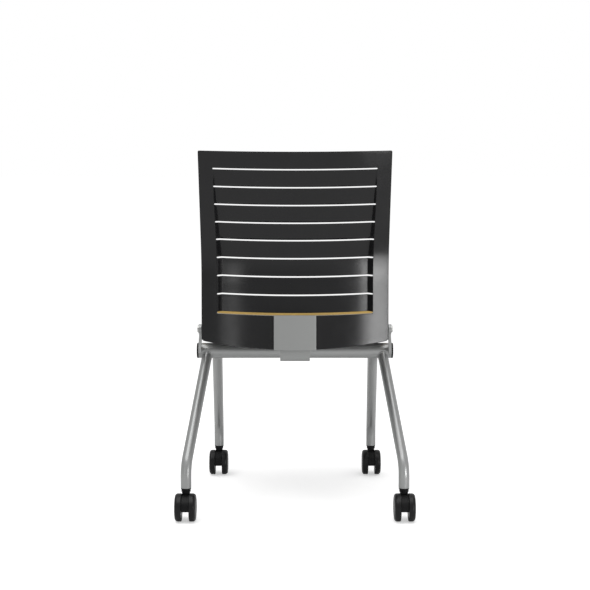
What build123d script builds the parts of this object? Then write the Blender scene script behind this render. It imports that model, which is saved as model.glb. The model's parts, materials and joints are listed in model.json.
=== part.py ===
from build123d import *
from math import ceil, hypot, radians, sqrt, tan
import os

# Nesting chair on twin-wheel casters, with a flip-up seat and a slatted one-piece back.
# Millimetres, +Z up. The origin is on the floor under the middle of the chair.
# The sitter faces -Y, so left is +X and the back is towards +Y.

# Gaps between pieces
rest_gap = 0.3  # between pieces that move past each other
running_fit = 0.05  # radial, round a pin or an axle that turns
socket_fit = 0.03  # radial, round a piece that stays in its socket

# Casters
rear_track = 509  # across the two rear swivel axes
front_track = 407
rear_stem_y = 207
front_stem_y = -259
caster_trail = 20  # from the swivel axis back to the axle
wheel_diameter = 65
wheel_width = 15.4
wheel_edge_radius = 7
wheel_inner_chamfer = 1.2
hood_width = 17.2  # the middle of the caster, between its wheels
hood_side_gap = 0.4
hood_radius = 28
hood_bottom_z = 28
collar_diameter = 22
collar_height = 6
collar_edge = 1
collar_lift = 0.7  # from the top of the wheels to the collar
axle_diameter = 6
axle_end_gap = 0.4
axle_chamfer = 0.5
wheel_face_wall = 2.6
wheel_dish_radius = 21.5
wheel_dish_depth = 1
wheel_dish_slope = 1.3  # radial, from the dish to the rim
stem_diameter = 11
stem_in_hood = 28
stem_chamfer = 1
sleeve_clearance = 2  # from the top of the sleeve to the start of the leg's bend
sleeve_flange = 2.5

# Leg tubes
tube_diameter = 25
tube_wall = 1.8
leg_straight = 26  # the upright foot of the leg, below its bend
leg_turn = 45  # about how far the leg bends over, in degrees
leg_bend_radius = 60
rear_leg_top_inset = 16  # from the crossbar's end to the leg's axis
front_leg_top_inset = 39

# Crossbar
crossbar_diameter = 38
crossbar_wall = 2
crossbar_length = 466
crossbar_y = -41
crossbar_z = 362
end_plug_length = 14

# Side arms, from the ends of the crossbar to the seat pivots
arm_thickness = 7
arm_crank = 11  # how far the arm steps in towards the seat
arm_root_radius = 14
arm_tip_radius = 9.5
arm_straight = 22
pivot_y = 114
pivot_z = 436
hub_diameter = 22
hub_bore = 14
arm_screw_head = 14
arm_screw_head_height = 2.6
arm_screw_diameter = 8
arm_screw_socket = 5  # across the flats of the hexagon
arm_screw_socket_depth = 1.8
arm_screw_seat = 4.2
end_cap_thickness = 4.5
end_cap_edge = 1.5
end_cap_spigot = 1.2

# Seat pivots
pivot_pin_diameter = 10
pivot_pin_head = 16
pivot_pin_head_height = 2.8
pivot_pin_edge = 1
pivot_pin_socket = 5
pivot_pin_socket_depth = 1.7
pivot_thread_diameter = 8
bushing_flange = 1.2
bushing_flange_diameter = 18
hinge_plate_thickness = 5
hinge_hub_radius = 13
hinge_boss_diameter = 18
hinge_boss_height = 3
hinge_foot_thickness = 4
hinge_foot_width = 62
hinge_foot_front = 42  # from the pivot forward
hinge_foot_back = 16
hinge_screw_inset = 12  # from the inner edge of the foot
hinge_screw_spacing = 38
hinge_screw_diameter = 5
hinge_screw_head = 9
hinge_screw_head_height = 2.4
hinge_screw_grip = 5  # how far the screws go into the board

# Seat
seat_front_y = -283
seat_back_y = 167
seat_side_gap = 7  # from the hinge plates to the seat's sides, at the pivots
seat_side_taper = 0.125  # how fast the sides close in towards the rear
seat_wide_y = -120  # where the seat is widest
seat_front_taper = 2.5  # how much each side closes in again at the front
seat_front_bow = 11
seat_rear_bow = 14
seat_front_corner = 80
seat_side_radius = 160
seat_rear_corner = 34
bumper_height = 26.7
bumper_width = 30
bumper_depth = 26
bumper_corner = 4
bumper_spacing = 240
pan_thickness = 4
pan_inset = 30
pan_rear_inset = 24
pan_chamfer = 3.5
board_thickness = 8
board_inset = 12
cushion_height = 38
cushion_skirt = 4  # how far it laps over the board's edge
cushion_top_radius = 18
cushion_nose_relief = 1  # between the rear edge and the round that clears the back

# Back
back_width = 436.6
back_depth = 12
back_bow = 38  # how far the sides stand forward of the middle
back_foot_y = 200  # rear face on the centre line at back_foot_z
back_foot_z = 392
lumbar_y = 184
lumbar_z = 600
lumbar_blend = 55
back_top_y = 283
back_top_z = 857
back_top_dip = 3
back_corner_z = 414
back_bottom_dip = 17
back_top_corner = 3.5
back_bottom_corner = 7
stile_width = 35.9
stile_top_width = 31.6
slot_count = 9
slot_height = 4.5
top_slot_height = 3.8
lowest_slot_height = 7.6
slot_dip = 2.7
lowest_slot_z = 480
top_rail_height = 42.7  # from the top edge down to the highest slot
slat_thickness = 7
slat_step = 1
slat_recess = 22
slat_side_width = 12
slat_level_z = 605  # the slats are fully recessed below this height

# Spine, the flat bar that carries the back, and its cover
spine_width = 68.6
spine_thickness = 8
spine_run_z = 375.5
spine_bend_radius = 7
spine_top_z = 466
cover_width = 98
cover_thickness = 12
cover_bottom_z = 397.5
cover_top_z = 478
cover_edge = 1.5
pad_width = 106
pad_depth = 7
shell_station = 40  # between the sections that the back is lofted through
face_steps = 1200  # along the face, when the slots are spaced
slat_station = 30
slat_overlap = 3  # how far the ends of the slats run into the stiles
back_screw_diameter = 6
back_screw_head = 11
back_screw_head_height = 2.6
back_screw_sink = 3
back_screw_grip = 2.5
back_screw_x = 44
back_screw_z = 44

# Worked out from the sizes above
wheel_radius = wheel_diameter / 2
wheel_inner_x = hood_width / 2 + hood_side_gap
collar_bottom_z = wheel_diameter + collar_lift
hood_top_z = collar_bottom_z + collar_height
leg_bottom_z = hood_top_z + rest_gap + sleeve_flange
leg_bend_z = leg_bottom_z + leg_straight + leg_bend_radius * tan(radians(leg_turn / 2))
stem_in_leg = leg_straight - sleeve_clearance
crossbar_radius = crossbar_diameter / 2
crossbar_end = crossbar_length / 2
rear_leg_top_x = crossbar_end - rear_leg_top_inset
front_leg_top_x = crossbar_end - front_leg_top_inset
arm_rise = hypot(pivot_y - crossbar_y, pivot_z - crossbar_z)
hub_inner_x = crossbar_end - arm_crank
hub_outer_x = hub_inner_x + arm_thickness
hinge_outer_x = hub_inner_x - bushing_flange - rest_gap
hinge_inner_x = hinge_outer_x - hinge_plate_thickness
pan_bottom_z = crossbar_z + crossbar_radius + rest_gap + bumper_height
board_bottom_z = pan_bottom_z + pan_thickness
board_top_z = board_bottom_z + board_thickness
cushion_bottom_z = board_top_z - cushion_skirt
cushion_top_z = board_top_z + rest_gap + cushion_height
seat_pivot_x = hinge_inner_x - seat_side_gap
seat_wide_x = seat_pivot_x + seat_side_taper * (pivot_y - seat_wide_y)
back_half = back_width / 2
bow_radius = (back_half**2 + back_bow**2) / (2 * back_bow)
highest_slot_z = back_top_z - top_rail_height
foot_slope = (lumbar_y - back_foot_y) / (lumbar_z - back_foot_z)
top_slope = (back_top_y - lumbar_y) / (back_top_z - lumbar_z)
pad_z = (cover_bottom_z + cover_top_z) / 2
nose_radius = seat_back_y - pivot_y + cushion_nose_relief

pieces = {}


def keep(name, piece):
    piece.label = name
    pieces[name] = piece


def keep_pair(name, left_piece):
    # A piece of the left side and its mirror image on the right.
    keep(name + "_left", left_piece)
    keep(name + "_right", mirror(left_piece, about=Plane.YZ))


# ---- The curves of the back ----


def back_y(z):
    # Rear face of the back on the centre line: two straight runs that meet at the lumbar
    # point, with a parabola blended between them.
    blend_start = lumbar_z - lumbar_blend
    if z <= blend_start:
        return lumbar_y + foot_slope * (z - lumbar_z)
    if z >= lumbar_z + lumbar_blend:
        return lumbar_y + top_slope * (z - lumbar_z)
    start_y = lumbar_y - foot_slope * lumbar_blend
    step = z - blend_start
    return start_y + foot_slope * step + (top_slope - foot_slope) * step**2 / (4 * lumbar_blend)


def bow_y(x):
    # How far the back stands forward of its centre line at a distance x from it.
    return bow_radius - sqrt(bow_radius**2 - x**2)


def slot_heights():
    # Centres of the slots, from the lowest up, spaced evenly along the face.
    levels = [lowest_slot_z]
    lengths = [0]
    step = (highest_slot_z - lowest_slot_z) / face_steps
    for _ in range(face_steps):
        z = levels[-1]
        levels.append(z + step)
        lengths.append(lengths[-1] + hypot(step, back_y(z + step) - back_y(z)))
    heights = []
    for n in range(slot_count):
        wanted = lengths[-1] * n / (slot_count - 1)
        nearest = min(range(face_steps + 1), key=lambda k: abs(lengths[k] - wanted))
        heights.append(levels[nearest])
    return heights


def rise_share(z):
    # From 0 where the slats lie deepest to 1 at the highest slot.
    return min(1, max(0, (z - slat_level_z) / (highest_slot_z - slat_level_z)))


def window_half(z):
    # Half the width between the stiles, which grow slimmer towards the top.
    stile = stile_width + (stile_top_width - stile_width) * rise_share(z)
    return back_half - stile


def slat_depth(z):
    # The slats stand forward of the stiles, less and less towards the highest slot.
    return slat_recess + (slat_step - slat_recess) * rise_share(z)


# ---- Frame ----


def make_crossbar():
    with BuildPart() as crossbar:
        with Locations((0, crossbar_y, crossbar_z)):
            Cylinder(crossbar_radius, crossbar_length, rotation=(0, 90, 0))
            Cylinder(
                crossbar_radius - crossbar_wall,
                crossbar_length,
                rotation=(0, 90, 0),
                mode=Mode.SUBTRACT,
            )
    keep("crossbar", crossbar.part)


def make_end_plug():
    # Steel plug in the end of the crossbar, with the thread that the arm's screw goes into.
    with BuildPart() as end_plug:
        with Locations((crossbar_end - end_plug_length / 2, crossbar_y, crossbar_z)):
            Cylinder(
                crossbar_radius - crossbar_wall - socket_fit,
                end_plug_length,
                rotation=(0, 90, 0),
            )
            Cylinder(
                arm_screw_diameter / 2 + socket_fit,
                end_plug_length,
                rotation=(0, 90, 0),
                mode=Mode.SUBTRACT,
            )
    keep_pair("crossbar_plug", end_plug.part)


def make_leg(stem_x, stem_y, top_x):
    # A tube that stands upright over its caster, then leans over to the crossbar, where its
    # end is cut to fit the crossbar's round side.
    run_x = top_x - stem_x
    run_y = crossbar_y - stem_y
    leg_plane = Plane(origin=(stem_x, stem_y, 0), x_dir=(run_x, run_y, 0), z_dir=(run_y, -run_x, 0))
    with BuildPart() as leg:
        with BuildLine(leg_plane):
            FilletPolyline(
                (0, leg_bottom_z),
                (0, leg_bend_z),
                (hypot(run_x, run_y), crossbar_z),
                radius=leg_bend_radius,
            )
        with BuildSketch(Plane.XY.offset(leg_bottom_z)):
            with Locations((stem_x, stem_y)):
                Circle(tube_diameter / 2)
                Circle(tube_diameter / 2 - tube_wall, mode=Mode.SUBTRACT)
        sweep()
        with Locations((0, crossbar_y, crossbar_z)):
            Cylinder(crossbar_radius, crossbar_length, rotation=(0, 90, 0), mode=Mode.SUBTRACT)
    return leg.part


def make_side_arm():
    # A flat forging: a round root on the crossbar's end, a blade that steps in towards the
    # seat, and a hub for the pivot.
    arm_plane = Plane(
        origin=(0, crossbar_y, crossbar_z),
        x_dir=(1, 0, 0),
        z_dir=(0, crossbar_z - pivot_z, pivot_y - crossbar_y),
    )
    root_outer_x = crossbar_end + arm_thickness
    with BuildPart() as side_arm:
        with BuildSketch(Plane.YZ.offset(hub_inner_x)):
            with Locations((crossbar_y, crossbar_z)):
                Circle(arm_root_radius)
            with Locations((pivot_y, pivot_z)):
                Circle(arm_tip_radius)
            make_hull()
            with Locations((crossbar_y, crossbar_z)):
                Circle(crossbar_radius)
            with Locations((pivot_y, pivot_z)):
                Circle(hub_diameter / 2)
        extrude(amount=arm_crank + arm_thickness)
        with BuildSketch(arm_plane):
            with BuildLine():
                Polyline(
                    (crossbar_end, -crossbar_diameter),
                    (root_outer_x, -crossbar_diameter),
                    (root_outer_x, arm_straight),
                    (hub_outer_x, arm_rise - arm_straight),
                    (hub_outer_x, arm_rise + hub_diameter),
                    (hub_inner_x, arm_rise + hub_diameter),
                    (hub_inner_x, arm_rise - arm_straight),
                    (crossbar_end, arm_straight),
                    close=True,
                )
            make_face()
        extrude(amount=crossbar_diameter, both=True, mode=Mode.INTERSECT)
        with Locations((root_outer_x, crossbar_y, crossbar_z)):
            Cylinder(
                arm_screw_diameter / 2 + socket_fit,
                4 * arm_thickness,
                rotation=(0, 90, 0),
                mode=Mode.SUBTRACT,
            )
            Cylinder(
                arm_screw_head / 2 + rest_gap,
                2 * arm_screw_seat,
                rotation=(0, 90, 0),
                mode=Mode.SUBTRACT,
            )
        with Locations((hub_inner_x, pivot_y, pivot_z)):
            Cylinder(hub_bore / 2, 4 * arm_thickness, rotation=(0, 90, 0), mode=Mode.SUBTRACT)
    keep_pair("side_arm", side_arm.part)


def make_arm_screw():
    # Socket screw that holds the arm on the crossbar's end.
    seat_x = crossbar_end + arm_thickness - arm_screw_seat
    shank_end = crossbar_end - end_plug_length
    with BuildPart() as arm_screw:
        with BuildSketch(Plane.YZ.offset(seat_x)):
            with Locations((crossbar_y, crossbar_z)):
                Circle(arm_screw_head / 2)
        extrude(amount=arm_screw_head_height)
        with BuildSketch(Plane.YZ.offset(shank_end)):
            with Locations((crossbar_y, crossbar_z)):
                Circle(arm_screw_diameter / 2)
        extrude(amount=seat_x - shank_end)
        with BuildSketch(Plane.YZ.offset(seat_x + arm_screw_head_height)):
            with Locations((crossbar_y, crossbar_z)):
                RegularPolygon(arm_screw_socket / 2, 6, major_radius=False)
        extrude(amount=-arm_screw_socket_depth, mode=Mode.SUBTRACT)
    keep_pair("arm_screw", arm_screw.part)


def make_end_cap():
    # Black cap over the screw, with a short spigot in the arm's counterbore.
    cap_x = crossbar_end + arm_thickness
    with BuildPart() as end_cap:
        with BuildSketch(Plane.YZ.offset(cap_x)):
            with Locations((crossbar_y, crossbar_z)):
                Circle(crossbar_radius)
        extrude(amount=end_cap_thickness)
        fillet(end_cap.faces().sort_by(Axis.X)[-1].edges(), end_cap_edge)
        with BuildSketch(Plane.YZ.offset(cap_x)):
            with Locations((crossbar_y, crossbar_z)):
                Circle(arm_screw_head / 2)
        extrude(amount=-end_cap_spigot)
    keep_pair("arm_cap", end_cap.part)


def make_pivot_bushing():
    # Flanged nylon bush in the arm's hub.
    with BuildPart() as bushing:
        with BuildSketch(Plane.YZ.offset(hub_inner_x)):
            with Locations((pivot_y, pivot_z)):
                Circle(hub_bore / 2 - socket_fit)
        extrude(amount=arm_thickness)
        with BuildSketch(Plane.YZ.offset(hub_inner_x)):
            with Locations((pivot_y, pivot_z)):
                Circle(bushing_flange_diameter / 2)
        extrude(amount=-bushing_flange)
        with Locations((hub_inner_x, pivot_y, pivot_z)):
            Cylinder(
                pivot_pin_diameter / 2 + running_fit,
                4 * arm_thickness,
                rotation=(0, 90, 0),
                mode=Mode.SUBTRACT,
            )
    keep_pair("pivot_bushing", bushing.part)


# ---- Casters ----


def make_leg_sleeve(stem_x, stem_y):
    # Plastic plug in the foot of a leg tube, with the caster's stem in it.
    with BuildPart() as sleeve:
        with BuildSketch(Plane.XY.offset(leg_bottom_z)):
            with Locations((stem_x, stem_y)):
                Circle(tube_diameter / 2 - tube_wall - socket_fit)
        extrude(amount=stem_in_leg)
        with BuildSketch(Plane.XY.offset(leg_bottom_z)):
            with Locations((stem_x, stem_y)):
                Circle(tube_diameter / 2 - rest_gap)
        extrude(amount=-sleeve_flange)
        with BuildSketch(Plane.XY.offset(leg_bottom_z - sleeve_flange)):
            with Locations((stem_x, stem_y)):
                Circle(stem_diameter / 2 + socket_fit)
        extrude(amount=stem_in_leg + sleeve_flange, mode=Mode.SUBTRACT)
    return sleeve.part


def make_caster_stem(stem_x, stem_y):
    stem_bottom_z = hood_top_z - stem_in_hood
    with BuildPart() as stem:
        with BuildSketch(Plane.XY.offset(stem_bottom_z)):
            with Locations((stem_x, stem_y)):
                Circle(stem_diameter / 2)
        extrude(amount=leg_bottom_z + stem_in_leg - stem_bottom_z)
        chamfer(stem.faces().sort_by(Axis.Z)[-1].edges(), stem_chamfer)
    return stem.part


def make_caster_hood(stem_x, stem_y):
    # The caster's middle: a flat-sided disc round the axle, open towards the floor, and a
    # neck with a round collar that turns on the stem.
    axle_y = stem_y + caster_trail
    with BuildPart() as hood:
        with BuildSketch(Plane.YZ.offset(stem_x - hood_width / 2)):
            with Locations((axle_y, wheel_radius)):
                Circle(hood_radius)
            with Locations((stem_y, (wheel_radius + collar_bottom_z) / 2)):
                Rectangle(collar_diameter, collar_bottom_z - wheel_radius)
            with Locations((axle_y, hood_bottom_z)):
                Rectangle(
                    4 * hood_radius,
                    4 * hood_radius,
                    align=(Align.CENTER, Align.MAX),
                    mode=Mode.SUBTRACT,
                )
        extrude(amount=hood_width)
        with BuildSketch(Plane.XY.offset(collar_bottom_z)):
            with Locations((stem_x, stem_y)):
                Circle(collar_diameter / 2)
        extrude(amount=collar_height)
        fillet(hood.faces().sort_by(Axis.Z)[-1].edges(), collar_edge)
        with BuildSketch(Plane.XY.offset(hood_top_z)):
            with Locations((stem_x, stem_y)):
                Circle(stem_diameter / 2 + running_fit)
        extrude(amount=-stem_in_hood - rest_gap, mode=Mode.SUBTRACT)
        with Locations((stem_x, axle_y, wheel_radius)):
            Cylinder(
                axle_diameter / 2 + socket_fit,
                2 * hood_width,
                rotation=(0, 90, 0),
                mode=Mode.SUBTRACT,
            )
    return hood.part


def make_caster_axle(stem_x, stem_y):
    axle_length = 2 * (wheel_inner_x + wheel_width - wheel_face_wall - axle_end_gap)
    with BuildPart() as axle:
        with Locations((stem_x, stem_y + caster_trail, wheel_radius)):
            Cylinder(axle_diameter / 2, axle_length, rotation=(0, 90, 0))
        chamfer(axle.edges().filter_by(GeomType.CIRCLE), axle_chamfer)
    return axle.part


def make_caster_wheel(stem_x, stem_y, side):
    # Turned about the axle. The outer edge is well rounded and the outer face is dished.
    bore_radius = axle_diameter / 2 + running_fit
    bore_depth = wheel_width - wheel_face_wall
    shoulder = wheel_width - wheel_edge_radius
    corner = wheel_edge_radius * (1 - sqrt(0.5))
    turning_plane = Plane(
        origin=(stem_x + side * wheel_inner_x, stem_y + caster_trail, wheel_radius),
        x_dir=(side, 0, 0),
        z_dir=(0, -side, 0),
    )
    with BuildPart() as wheel:
        with BuildSketch(turning_plane):
            with BuildLine():
                Polyline(
                    (bore_depth, 0),
                    (bore_depth, bore_radius),
                    (0, bore_radius),
                    (0, wheel_radius - wheel_inner_chamfer),
                    (wheel_inner_chamfer, wheel_radius),
                    (shoulder, wheel_radius),
                )
                ThreePointArc(
                    (shoulder, wheel_radius),
                    (wheel_width - corner, wheel_radius - corner),
                    (wheel_width, wheel_radius - wheel_edge_radius),
                )
                Polyline(
                    (wheel_width, wheel_radius - wheel_edge_radius),
                    (wheel_width, wheel_dish_radius + wheel_dish_slope),
                    (wheel_width - wheel_dish_depth, wheel_dish_radius),
                    (wheel_width - wheel_dish_depth, 0),
                    (bore_depth, 0),
                )
            make_face()
        revolve(axis=Axis(turning_plane.origin, (1, 0, 0)))
    return wheel.part


def make_corner(name, stem_x, stem_y, top_x):
    # One leg with all that hangs from it.
    keep("leg_" + name, make_leg(stem_x, stem_y, top_x))
    keep("leg_sleeve_" + name, make_leg_sleeve(stem_x, stem_y))
    keep("caster_stem_" + name, make_caster_stem(stem_x, stem_y))
    keep("caster_hood_" + name, make_caster_hood(stem_x, stem_y))
    keep("caster_axle_" + name, make_caster_axle(stem_x, stem_y))
    keep("wheel_a_" + name, make_caster_wheel(stem_x, stem_y, 1))
    keep("wheel_b_" + name, make_caster_wheel(stem_x, stem_y, -1))


# ---- Seat ----


def seat_outline(inset, rear_inset):
    # The seat's plan. It narrows to the rear, to pass between the hinge plates.
    front_y = seat_front_y + inset
    rear_y = seat_back_y - rear_inset
    side_rear_y = rear_y - seat_rear_bow
    wide_x = seat_wide_x - inset
    front_x = wide_x - seat_front_taper
    rear_x = seat_pivot_x - inset - seat_side_taper * (side_rear_y - pivot_y)
    with BuildSketch(Plane.XY) as outline:
        with BuildLine():
            ThreePointArc(
                (-front_x, front_y + seat_front_bow), (0, front_y), (front_x, front_y + seat_front_bow)
            )
            Polyline(
                (front_x, front_y + seat_front_bow),
                (wide_x, seat_wide_y),
                (rear_x, side_rear_y),
            )
            ThreePointArc((rear_x, side_rear_y), (0, rear_y), (-rear_x, side_rear_y))
            Polyline(
                (-rear_x, side_rear_y),
                (-wide_x, seat_wide_y),
                (-front_x, front_y + seat_front_bow),
            )
        make_face()
        corners = outline.vertices().group_by(Axis.Y)
        fillet(corners[0], seat_front_corner)
        fillet(outline.vertices().sort_by(lambda v: abs(v.Y - seat_wide_y))[:2], seat_side_radius)
        fillet(outline.vertices().group_by(Axis.Y)[-1], seat_rear_corner)
    return outline.sketch


def hinge_foot_middle_y():
    return pivot_y + (hinge_foot_back - hinge_foot_front) / 2


def hinge_screw_places():
    # Two screws down through the foot of each hinge plate.
    screw_x = hinge_outer_x - hinge_foot_width + hinge_screw_inset
    step_y = hinge_screw_spacing / 2
    return [
        (side * screw_x, hinge_foot_middle_y() + end * step_y) for side in (1, -1) for end in (1, -1)
    ]


def make_seat_pan():
    # Moulded cover under the board. Its rear edge is cut back, to clear the spine as it tips.
    outline = seat_outline(pan_inset, pan_rear_inset)
    with BuildPart() as seat_pan:
        with BuildSketch(Plane.XY.offset(pan_bottom_z)):
            add(outline)
        extrude(amount=pan_thickness)
        chamfer(seat_pan.faces().sort_by(Axis.Z)[0].edges(), pan_chamfer)
    keep("seat_pan", seat_pan.part)


def make_seat_board():
    # Plywood board that the cushion is glued and stapled to, with blind screw holes on top.
    outline = seat_outline(board_inset, pan_rear_inset)
    with BuildPart() as seat_board:
        with BuildSketch(Plane.XY.offset(board_bottom_z)):
            add(outline)
        extrude(amount=board_thickness)
        with BuildSketch(Plane.XY.offset(board_top_z)):
            with Locations(*hinge_screw_places()):
                Circle(hinge_screw_diameter / 2 + socket_fit)
        extrude(amount=-hinge_screw_grip - rest_gap, mode=Mode.SUBTRACT)
    keep("seat_board", seat_board.part)


def make_seat_cushion():
    # Foam and fabric that lap over the board's edge. The underside is cut out for the feet of
    # the hinge plates, which leave by its sides. Its rear edge is round about the pivot, so
    # that it clears the back and the spine as it tips.
    outline = seat_outline(0, 0)
    board = seat_outline(board_inset - rest_gap, pan_rear_inset - rest_gap)
    foot_half = (hinge_foot_front + hinge_foot_back) / 2 + rest_gap
    foot_inner_x = hinge_outer_x - hinge_foot_width - rest_gap
    foot_top_z = board_top_z + hinge_foot_thickness
    with BuildPart() as seat_cushion:
        with BuildSketch(Plane.XY.offset(cushion_bottom_z)):
            add(outline)
        extrude(amount=cushion_top_z - cushion_bottom_z)
        fillet(seat_cushion.faces().sort_by(Axis.Z)[-1].edges(), cushion_top_radius)
        with BuildSketch(Plane.XY.offset(cushion_bottom_z)):
            add(board)
        extrude(amount=cushion_skirt + rest_gap, mode=Mode.SUBTRACT)
        with BuildSketch(Plane.XY.offset(board_top_z - rest_gap)):
            for side in (1, -1):
                with Locations((side * foot_inner_x, hinge_foot_middle_y())):
                    Rectangle(
                        hinge_foot_width,
                        2 * foot_half,
                        align=(Align.MIN if side > 0 else Align.MAX, Align.CENTER),
                    )
        extrude(amount=hinge_foot_thickness + 2 * rest_gap, mode=Mode.SUBTRACT)
        with BuildSketch(Plane.XY.offset(foot_top_z)):
            with Locations(*hinge_screw_places()):
                Circle(hinge_screw_head / 2 + rest_gap)
        extrude(amount=hinge_screw_head_height + rest_gap, mode=Mode.SUBTRACT)
        with BuildSketch(Plane.YZ):
            with Locations((pivot_y, pivot_z)):
                Rectangle(2 * nose_radius, 4 * nose_radius, align=(Align.MIN, Align.CENTER))
                Circle(nose_radius, mode=Mode.SUBTRACT)
        extrude(amount=2 * seat_wide_x, both=True, mode=Mode.SUBTRACT)
    keep("seat_cushion", seat_cushion.part)


def make_seat_bumper():
    # Rubber block under the pan that comes to rest on the crossbar.
    with BuildPart() as bumper:
        with BuildSketch(Plane.XY.offset(pan_bottom_z)):
            with Locations((bumper_spacing / 2, crossbar_y)):
                RectangleRounded(bumper_width, bumper_depth, bumper_corner)
        extrude(amount=-bumper_height)
    keep_pair("seat_bumper", bumper.part)


def make_hinge_plate():
    # Angle plate: its foot lies on the board, inside the cushion, and its upright carries the
    # pivot pin beside the cushion.
    foot_length = hinge_foot_front + hinge_foot_back
    with BuildPart() as hinge_plate:
        with BuildSketch(Plane.YZ.offset(hinge_inner_x)):
            with Locations((pivot_y, pivot_z)):
                Circle(hinge_hub_radius)
            with Locations((hinge_foot_middle_y(), board_top_z + hinge_foot_thickness / 2)):
                Rectangle(foot_length, hinge_foot_thickness)
            make_hull()
        extrude(amount=hinge_plate_thickness)
        with BuildSketch(Plane.XY.offset(board_top_z)):
            with Locations((hinge_outer_x, hinge_foot_middle_y())):
                Rectangle(hinge_foot_width, foot_length, align=(Align.MAX, Align.CENTER))
        extrude(amount=hinge_foot_thickness)
        with BuildSketch(Plane.YZ.offset(hinge_inner_x)):
            with Locations((pivot_y, pivot_z)):
                Circle(hinge_boss_diameter / 2)
        extrude(amount=-hinge_boss_height)
        with Locations((hinge_inner_x, pivot_y, pivot_z)):
            Cylinder(
                pivot_thread_diameter / 2 + socket_fit,
                6 * hinge_plate_thickness,
                rotation=(0, 90, 0),
                mode=Mode.SUBTRACT,
            )
        with BuildSketch(Plane.XY.offset(board_top_z)):
            with Locations(*hinge_screw_places()):
                Circle(hinge_screw_diameter / 2 + socket_fit)
        extrude(amount=hinge_foot_thickness, mode=Mode.SUBTRACT)
    keep_pair("hinge_plate", hinge_plate.part)


def make_pivot_pin():
    # Shoulder screw: its head is outside the arm, its shoulder turns in the bush, and its
    # thread is in the hinge plate.
    head_x = hub_outer_x + rest_gap
    with BuildPart() as pivot_pin:
        with BuildSketch(Plane.YZ.offset(head_x)):
            with Locations((pivot_y, pivot_z)):
                Circle(pivot_pin_head / 2)
        extrude(amount=pivot_pin_head_height)
        fillet(pivot_pin.faces().sort_by(Axis.X)[-1].edges(), pivot_pin_edge)
        with BuildSketch(Plane.YZ.offset(hinge_outer_x)):
            with Locations((pivot_y, pivot_z)):
                Circle(pivot_pin_diameter / 2)
        extrude(amount=head_x - hinge_outer_x)
        with BuildSketch(Plane.YZ.offset(hinge_inner_x - hinge_boss_height)):
            with Locations((pivot_y, pivot_z)):
                Circle(pivot_thread_diameter / 2)
        extrude(amount=hinge_plate_thickness + hinge_boss_height)
        with BuildSketch(Plane.YZ.offset(head_x + pivot_pin_head_height)):
            with Locations((pivot_y, pivot_z)):
                RegularPolygon(pivot_pin_socket / 2, 6, major_radius=False)
        extrude(amount=-pivot_pin_socket_depth, mode=Mode.SUBTRACT)
    keep_pair("pivot_pin", pivot_pin.part)


def make_hinge_screws():
    # The four screws that hold the hinge plates on the board.
    foot_top_z = board_top_z + hinge_foot_thickness
    with BuildPart() as hinge_screws:
        with BuildSketch(Plane.XY.offset(foot_top_z)):
            with Locations(*hinge_screw_places()):
                Circle(hinge_screw_head / 2)
        extrude(amount=hinge_screw_head_height)
        with BuildSketch(Plane.XY.offset(foot_top_z)):
            with Locations(*hinge_screw_places()):
                Circle(hinge_screw_diameter / 2)
        extrude(amount=-hinge_foot_thickness - hinge_screw_grip)
    keep("hinge_screws", hinge_screws.part)


# ---- Back ----


def pad_plane(z):
    # The flat rear face of the back's foot. Local x is towards the sitter's right, local y
    # is up the back, and the normal is to the rear.
    return Plane(origin=(0, back_y(z), z), x_dir=(-1, 0, 0), z_dir=(0, 1, -foot_slope))


def back_screw_places():
    return GridLocations(back_screw_x, back_screw_z, 2, 2)


def back_outline():
    # The back seen from behind: a shallow dip along the top, and a deeper one at the foot.
    with BuildSketch(Plane.XZ) as outline:
        with BuildLine():
            ThreePointArc(
                (-back_half, back_top_z), (0, back_top_z - back_top_dip), (back_half, back_top_z)
            )
            Line((back_half, back_top_z), (back_half, back_corner_z))
            ThreePointArc(
                (back_half, back_corner_z),
                (0, back_corner_z - back_bottom_dip),
                (-back_half, back_corner_z),
            )
            Line((-back_half, back_corner_z), (-back_half, back_top_z))
        make_face()
        fillet(outline.vertices().group_by(Axis.Y)[-1], back_top_corner)
        fillet(outline.vertices().group_by(Axis.Y)[0], back_bottom_corner)
    return outline.sketch


def level_stations(low, high, spacing):
    # Heights from low to high, evenly spaced.
    count = max(2, ceil((high - low) / spacing))
    return [low + (high - low) * n / count for n in range(count + 1)]


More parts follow.
